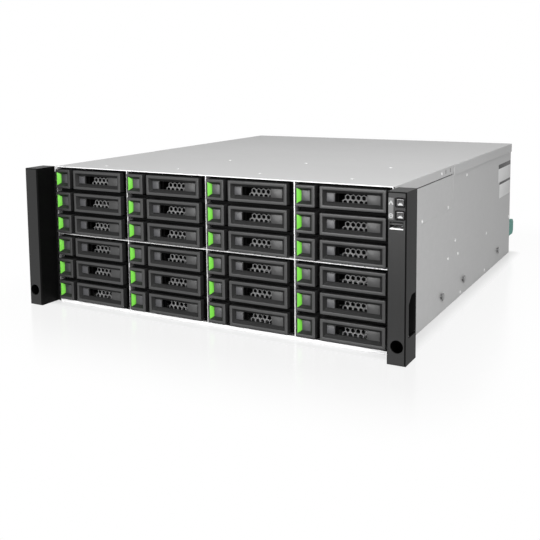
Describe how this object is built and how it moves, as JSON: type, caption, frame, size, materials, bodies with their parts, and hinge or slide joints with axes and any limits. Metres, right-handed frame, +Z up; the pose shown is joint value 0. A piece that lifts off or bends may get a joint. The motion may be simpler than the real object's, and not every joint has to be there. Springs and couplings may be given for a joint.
{
  "type": "rackmount storage server",
  "caption": "Four-unit rackmount storage server: sliding drive trays with sprung latches and levers, rack ears, removable lid, and rear controllers, power supplies and fan modules.",
  "frame": {"origin": "underside of the chassis, mid-width, in the plane of the rack posts' front face", "axes": "+X to the right seen from the front, +Y to the rear, +Z up"},
  "size_m": [0.4826, 0.5896, 0.1706],
  "materials": {
    "zinc_steel": "zinc-coated sheet, satin",
    "bright_steel": "bright sheet edges",
    "ear_plastic": "fine moulded texture",
    "tray_plastic": "moulded, dark grey",
    "latch_green": "bright green moulded",
    "drive_metal": "cast, satin",
    "grille_metal": "pierced sheet",
    "spring_steel": "spring strip",
    "circuit_board": "solder-masked board",
    "button_metal": "metallised cap",
    "light_diffuser": "translucent light grey",
    "port_metal": "plated shell",
    "supply_metal": "zinc-coated sheet",
    "fan_plastic": "glass-filled black",
    "tab_teal": "moulded teal",
    "lever_metal": "powder coated"
  },
  "bodies": {
    "chassis": {"chassis_base": "zinc_steel", "front_cover": "zinc_steel", "drive_cage": "bright_steel", "rack_flanges": "zinc_steel", "ear_cover_left": "ear_plastic", "ear_cover_right": "ear_plastic", "light_pipe": "light_diffuser", "usb_port": "port_metal", "control_board": "circuit_board", "midplane": "circuit_board", "rivets": "bright_steel", "rail_studs": "bright_steel", "rear_shelves": "zinc_steel"},
    "lid": {"rear_lid": "zinc_steel"},
    "power_button": {"power_button": "button_metal"},
    "locate_button": {"locate_button": "button_metal"},
    "service_tray": {"service_carrier": "tray_plastic", "service_grille": "grille_metal", "service_lever_pin": "bright_steel", "service_latch_spring": "spring_steel", "service_drive": "drive_metal", "service_drive_screws": "bright_steel"},
    "service_lever": {"service_lever": "tray_plastic"},
    "service_latch": {"service_latch": "latch_green"},
    "tray_c1_r1": {"tray_c1_r1": "tray_plastic"},
    "tray_c1_r2": {"tray_c1_r2": "tray_plastic"},
    "tray_c1_r3": {"tray_c1_r3": "tray_plastic"},
    "tray_c1_r4": {"tray_c1_r4": "tray_plastic"},
    "tray_c1_r5": {"tray_c1_r5": "tray_plastic"},
    "tray_c1_r6": {"tray_c1_r6": "tray_plastic"},
    "tray_c2_r1": {"tray_c2_r1": "tray_plastic"},
    "tray_c2_r2": {"tray_c2_r2": "tray_plastic"},
    "tray_c2_r3": {"tray_c2_r3": "tray_plastic"},
    "tray_c2_r4": {"tray_c2_r4": "tray_plastic"},
    "tray_c2_r5": {"tray_c2_r5": "tray_plastic"},
    "tray_c2_r6": {"tray_c2_r6": "tray_plastic"},
    "tray_c3_r1": {"tray_c3_r1": "tray_plastic"},
    "tray_c3_r2": {"tray_c3_r2": "tray_plastic"},
    "tray_c3_r3": {"tray_c3_r3": "tray_plastic"},
    "tray_c3_r4": {"tray_c3_r4": "tray_plastic"},
    "tray_c3_r5": {"tray_c3_r5": "tray_plastic"},
    "tray_c3_r6": {"tray_c3_r6": "tray_plastic"},
    "tray_c4_r2": {"tray_c4_r2": "tray_plastic"},
    "tray_c4_r3": {"tray_c4_r3": "tray_plastic"},
    "tray_c4_r4": {"tray_c4_r4": "tray_plastic"},
    "tray_c4_r5": {"tray_c4_r5": "tray_plastic"},
    "tray_c4_r6": {"tray_c4_r6": "tray_plastic"},
    "controller_lower": {"controller_lower": "supply_metal"},
    "controller_lever_lower": {"controller_lever_lower": "lever_metal"},
    "controller_upper": {"controller_upper": "supply_metal"},
    "controller_lever_upper": {"controller_lever_upper": "lever_metal"},
    "power_supply_left": {"power_supply_left": "supply_metal"},
    "release_tab_left": {"release_tab_left": "tab_teal"},
    "power_supply_right": {"power_supply_right": "supply_metal"},
    "release_tab_right": {"release_tab_right": "tab_teal"},
    "fan_module_left": {"fan_module_left": "supply_metal"},
    "fan_rotor_left": {"fan_rotor_left": "fan_plastic"},
    "fan_module_right": {"fan_module_right": "supply_metal"},
    "fan_rotor_right": {"fan_rotor_right": "fan_plastic"}
  },
  "joints": [
    {"name": "lid_slide", "type": "slide", "parent": "chassis", "child": "lid", "axis": [0, 1, 0], "range_m": [0, 0.015]},
    {"name": "power_button_press", "type": "slide", "parent": "chassis", "child": "power_button", "axis": [0, 1, 0], "range_m": [0, 0.0015], "stiffness_N_per_m": 600},
    {"name": "locate_button_press", "type": "slide", "parent": "chassis", "child": "locate_button", "axis": [0, 1, 0], "range_m": [0, 0.0015], "stiffness_N_per_m": 600},
    {"name": "service_tray_slide", "type": "slide", "parent": "chassis", "child": "service_tray", "axis": [0, -1, 0], "range_m": [0, 0.19]},
    {"name": "service_lever_swing", "type": "hinge", "parent": "service_tray", "child": "service_lever", "pos_m": [0.2085, 0.0036, 0.1549], "axis": [0, 0, 1], "range_deg": [0, 45]},
    {"name": "service_latch_slide", "type": "slide", "parent": "service_tray", "child": "service_latch", "axis": [-1, 0, 0], "range_m": [0, 0.0015], "stiffness_N_per_m": 500},
    {"name": "tray_c1_r1_slide", "type": "slide", "parent": "chassis", "child": "tray_c1_r1", "axis": [0, -1, 0], "range_m": [0, 0.19]},
    {"name": "tray_c1_r2_slide", "type": "slide", "parent": "chassis", "child": "tray_c1_r2", "axis": [0, -1, 0], "range_m": [0, 0.19]},
    {"name": "tray_c1_r3_slide", "type": "slide", "parent": "chassis", "child": "tray_c1_r3", "axis": [0, -1, 0], "range_m": [0, 0.19]},
    {"name": "tray_c1_r4_slide", "type": "slide", "parent": "chassis", "child": "tray_c1_r4", "axis": [0, -1, 0], "range_m": [0, 0.19]},
    {"name": "tray_c1_r5_slide", "type": "slide", "parent": "chassis", "child": "tray_c1_r5", "axis": [0, -1, 0], "range_m": [0, 0.19]},
    {"name": "tray_c1_r6_slide", "type": "slide", "parent": "chassis", "child": "tray_c1_r6", "axis": [0, -1, 0], "range_m": [0, 0.19]},
    {"name": "tray_c2_r1_slide", "type": "slide", "parent": "chassis", "child": "tray_c2_r1", "axis": [0, -1, 0], "range_m": [0, 0.19]},
    {"name": "tray_c2_r2_slide", "type": "slide", "parent": "chassis", "child": "tray_c2_r2", "axis": [0, -1, 0], "range_m": [0, 0.19]},
    {"name": "tray_c2_r3_slide", "type": "slide", "parent": "chassis", "child": "tray_c2_r3", "axis": [0, -1, 0], "range_m": [0, 0.19]},
    {"name": "tray_c2_r4_slide", "type": "slide", "parent": "chassis", "child": "tray_c2_r4", "axis": [0, -1, 0], "range_m": [0, 0.19]},
    {"name": "tray_c2_r5_slide", "type": "slide", "parent": "chassis", "child": "tray_c2_r5", "axis": [0, -1, 0], "range_m": [0, 0.19]},
    {"name": "tray_c2_r6_slide", "type": "slide", "parent": "chassis", "child": "tray_c2_r6", "axis": [0, -1, 0], "range_m": [0, 0.19]},
    {"name": "tray_c3_r1_slide", "type": "slide", "parent": "chassis", "child": "tray_c3_r1", "axis": [0, -1, 0], "range_m": [0, 0.19]},
    {"name": "tray_c3_r2_slide", "type": "slide", "parent": "chassis", "child": "tray_c3_r2", "axis": [0, -1, 0], "range_m": [0, 0.19]},
    {"name": "tray_c3_r3_slide", "type": "slide", "parent": "chassis", "child": "tray_c3_r3", "axis": [0, -1, 0], "range_m": [0, 0.19]},
    {"name": "tray_c3_r4_slide", "type": "slide", "parent": "chassis", "child": "tray_c3_r4", "axis": [0, -1, 0], "range_m": [0, 0.19]},
    {"name": "tray_c3_r5_slide", "type": "slide", "parent": "chassis", "child": "tray_c3_r5", "axis": [0, -1, 0], "range_m": [0, 0.19]},
    {"name": "tray_c3_r6_slide", "type": "slide", "parent": "chassis", "child": "tray_c3_r6", "axis": [0, -1, 0], "range_m": [0, 0.19]},
    {"name": "tray_c4_r2_slide", "type": "slide", "parent": "chassis", "child": "tray_c4_r2", "axis": [0, -1, 0], "range_m": [0, 0.19]},
    {"name": "tray_c4_r3_slide", "type": "slide", "parent": "chassis", "child": "tray_c4_r3", "axis": [0, -1, 0], "range_m": [0, 0.19]},
    {"name": "tray_c4_r4_slide", "type": "slide", "parent": "chassis", "child": "tray_c4_r4", "axis": [0, -1, 0], "range_m": [0, 0.19]},
    {"name": "tray_c4_r5_slide", "type": "slide", "parent": "chassis", "child": "tray_c4_r5", "axis": [0, -1, 0], "range_m": [0, 0.19]},
    {"name": "tray_c4_r6_slide", "type": "slide", "parent": "chassis", "child": "tray_c4_r6", "axis": [0, -1, 0], "range_m": [0, 0.19]},
    {"name": "controller_lower_slide", "type": "slide", "parent": "chassis", "child": "controller_lower", "axis": [0, 1, 0], "range_m": [0, 0.2]},
    {"name": "controller_lever_lower_swing", "type": "hinge", "parent": "controller_lower", "child": "controller_lever_lower", "pos_m": [-0.208, 0.521, 0.10612], "axis": [0, 0, 1], "range_deg": [0, 70]},
    {"name": "controller_upper_slide", "type": "slide", "parent": "chassis", "child": "controller_upper", "axis": [0, 1, 0], "range_m": [0, 0.2]},
    {"name": "controller_lever_upper_swing", "type": "hinge", "parent": "controller_upper", "child": "controller_lever_upper", "pos_m": [-0.208, 0.521, 0.14838], "axis": [0, 0, 1], "range_deg": [0, 70]},
    {"name": "power_supply_left_slide", "type": "slide", "parent": "chassis", "child": "power_supply_left", "axis": [0, 1, 0], "range_m": [0, 0.18]},
    {"name": "release_tab_left_press", "type": "hinge", "parent": "power_supply_left", "child": "release_tab_left", "pos_m": [-0.1338, 0.521, 0.0355], "axis": [0, 0, 1], "range_deg": [0, 6], "stiffness_Nm_per_rad": 0.6},
    {"name": "power_supply_right_slide", "type": "slide", "parent": "chassis", "child": "power_supply_right", "axis": [0, 1, 0], "range_m": [0, 0.18]},
    {"name": "release_tab_right_press", "type": "hinge", "parent": "power_supply_right", "child": "release_tab_right", "pos_m": [0.2147, 0.521, 0.0355], "axis": [0, 0, 1], "range_deg": [0, 6], "stiffness_Nm_per_rad": 0.6},
    {"name": "fan_module_left_slide", "type": "slide", "parent": "chassis", "child": "fan_module_left", "axis": [0, 1, 0], "range_m": [0, 0.07]},
    {"name": "fan_rotor_left_spin", "type": "hinge", "parent": "fan_module_left", "child": "fan_rotor_left", "pos_m": [-0.065, 0.5, 0.04275], "axis": [0, 1, 0], "continuous": true},
    {"name": "fan_module_right_slide", "type": "slide", "parent": "chassis", "child": "fan_module_right", "axis": [0, 1, 0], "range_m": [0, 0.07]},
    {"name": "fan_rotor_right_spin", "type": "hinge", "parent": "fan_module_right", "child": "fan_rotor_right", "pos_m": [0.065, 0.5, 0.04275], "axis": [0, 1, 0], "continuous": true}
  ]
}
